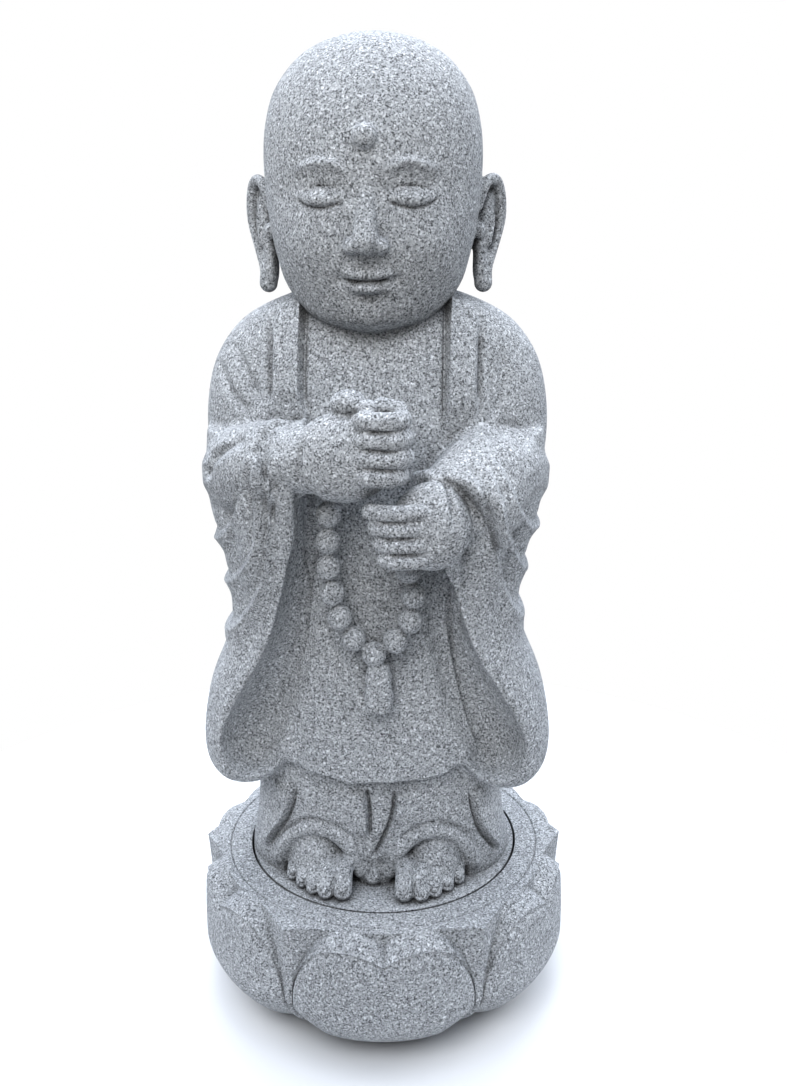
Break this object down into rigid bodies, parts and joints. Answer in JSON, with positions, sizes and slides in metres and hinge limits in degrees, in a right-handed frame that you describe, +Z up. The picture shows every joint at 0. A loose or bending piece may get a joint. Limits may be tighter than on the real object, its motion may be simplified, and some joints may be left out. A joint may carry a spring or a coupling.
{
  "type": "baby monk statue",
  "caption": "Granite garden statue of a standing child monk holding prayer beads, on a round lotus base.",
  "frame": {"origin": "middle of the base's flat underside, on the ground", "axes": "+Z up, the figure faces -Y, +X to its left hand"},
  "size_m": [0.4068, 0.415, 0.9999],
  "materials": {
    "figure_stone": "fine hammered grey granite, matte",
    "base_stone": "fine hammered grey granite, matte"
  },
  "bodies": {
    "root": {"monk_figure": "figure_stone", "lotus_base": "base_stone"}
  },
  "joints": []
}
